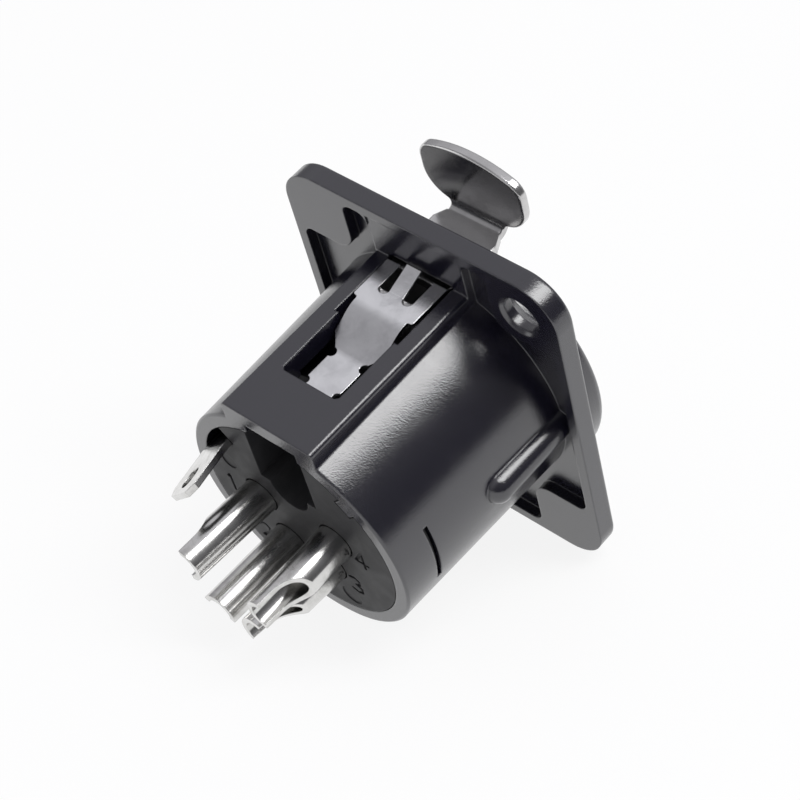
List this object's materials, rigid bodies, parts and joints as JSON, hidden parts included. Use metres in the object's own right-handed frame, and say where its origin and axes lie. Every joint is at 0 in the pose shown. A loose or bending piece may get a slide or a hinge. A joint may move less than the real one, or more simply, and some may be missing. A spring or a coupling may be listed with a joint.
{
  "type": "xlr panel socket",
  "caption": "Round panel socket for latching audio and power plugs, with a rectangular flange, a push lever, a leaf spring, slotted contacts and solder cups at the rear.",
  "frame": {"origin": "centre of the bore at the flange's rear face, where the socket seats on its panel", "axes": "the bore runs along Y, the mating side faces -Y and the solder cups +Y; +Z is towards the latch; +X is right seen from the front"},
  "size_m": [0.026, 0.032, 0.0326],
  "materials": {
    "black_lacquer": "gloss black lacquer on a die casting",
    "grey_plastic": "dark grey glass-filled moulding",
    "silver_plate": "bright silver plating",
    "spring_steel": "bright rolled spring steel",
    "nickel_steel": "nickel-plated steel"
  },
  "bodies": {
    "socket": {"shell": "black_lacquer", "contact_carrier": "grey_plastic", "contact_1": "silver_plate", "contact_2": "silver_plate", "contact_3": "silver_plate", "contact_4": "silver_plate", "ground_tab": "silver_plate", "latch_spring": "spring_steel"},
    "lever": {"latch_lever": "nickel_steel"}
  },
  "joints": [
    {"name": "lever_rock", "type": "hinge", "parent": "socket", "child": "lever", "pos_m": [0, -0.0009, 0.0099], "axis": [1, 0, 0], "range_deg": [0, 9], "stiffness_Nm_per_rad": 0.02, "deforming": ["latch_spring"]}
  ]
}
